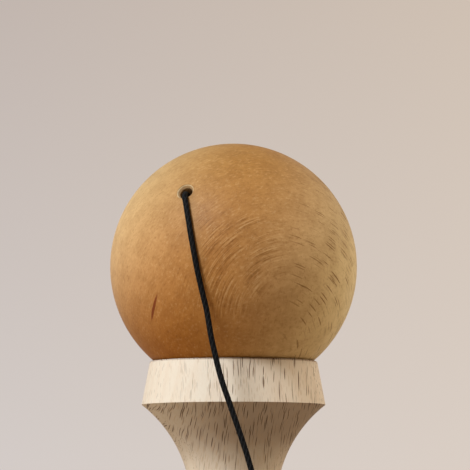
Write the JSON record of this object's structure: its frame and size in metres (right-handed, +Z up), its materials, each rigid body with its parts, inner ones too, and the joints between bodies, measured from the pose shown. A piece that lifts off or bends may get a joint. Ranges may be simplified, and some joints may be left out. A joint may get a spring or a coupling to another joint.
{
  "type": "cup and ball toy",
  "caption": "Turned wooden cup-and-ball toy: spiked handle through cross cups, with a bored ball on a string resting on the larger cup.",
  "frame": {"origin": "middle of the footprint's box, on the surface that the toy stands on; the cross cups' axis is 13 mm towards -X of it", "axes": "+Z up through the small cup, the big cup and the ball; +X along the handle from the spike to the base cup; the string holes face -Y"},
  "size_m": [0.17, 0.0834, 0.1239],
  "materials": {
    "ball_wood": "satin amber lacquer over beech",
    "cup_wood": "bare sanded beech",
    "handle_wood": "bare sanded beech",
    "bead": "bare wooden bead",
    "string": "black braided polyester"
  },
  "bodies": {
    "handle_and_cups": {"handle": "handle_wood", "cross_cups": "cup_wood", "string_drop": "string", "string_coil": "string", "string_tail": "string", "string_in_handle": "string", "anchor_knot": "string"},
    "string_end": {"string_bead": "bead", "bead_knot": "string", "string_in_ball": "string", "string_over_ball": "string"},
    "ball": {"ball": "ball_wood"}
  },
  "joints": [
    {"name": "ball_lift", "type": "slide", "parent": "handle_and_cups", "child": "string_end", "axis": [0, 0, 1], "range_m": [0, 0.27]},
    {"name": "ball_spin", "type": "hinge", "parent": "string_end", "child": "ball", "pos_m": [-0.013, 0, 0.09393], "axis": [-0.385, -0.7397, 0.5519], "continuous": true}
  ]
}
